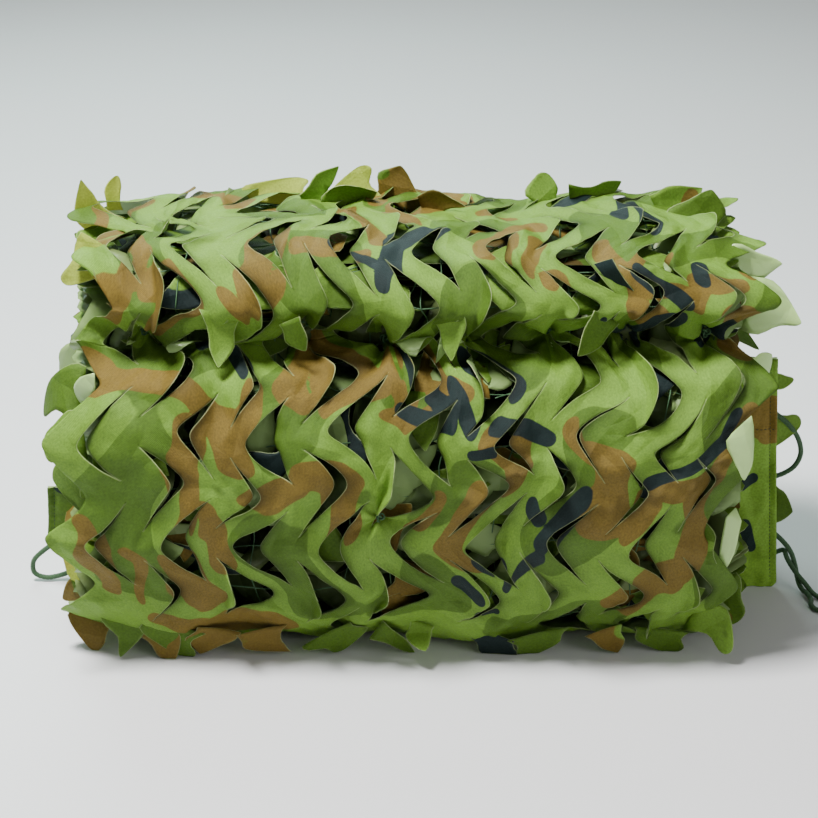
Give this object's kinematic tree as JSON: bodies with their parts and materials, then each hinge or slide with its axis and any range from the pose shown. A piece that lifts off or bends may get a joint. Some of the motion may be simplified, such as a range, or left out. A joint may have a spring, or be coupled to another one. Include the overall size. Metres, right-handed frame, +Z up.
{
  "type": "camouflage netting",
  "caption": "Camouflage netting of leaf-cut cloth folded into a thick bundle, drawn in along a lacing line, with sewn border bands and rope loops at its ends.",
  "frame": {"origin": "bottom centre of the box of the folded net and its two bands, on the surface that it rests on; the rope loops are left out of that box", "axes": "+X along the bundle, towards the end with the long border band and the twisted rope; -Y towards the front with its lacing line; +Z up"},
  "size_m": [0.679, 0.271, 0.3433],
  "materials": {
    "camo_cloth": "printed woodland camouflage in light green, mid green, brown and dark slate on thin coated cloth, with a pale shiny green reverse and cut edges",
    "band_cloth": "printed camouflage cloth folded double and sewn as a border band, with dark stitching along its edge",
    "rope": "dark green braided rope, matt, with a fine twist"
  },
  "bodies": {
    "root": {"folded_net": "camo_cloth", "border_band_right": "band_cloth", "border_band_left": "band_cloth", "rope_loop_left": "rope", "rope_loop_right": "rope", "rope_bight_right": "rope"}
  },
  "joints": []
}
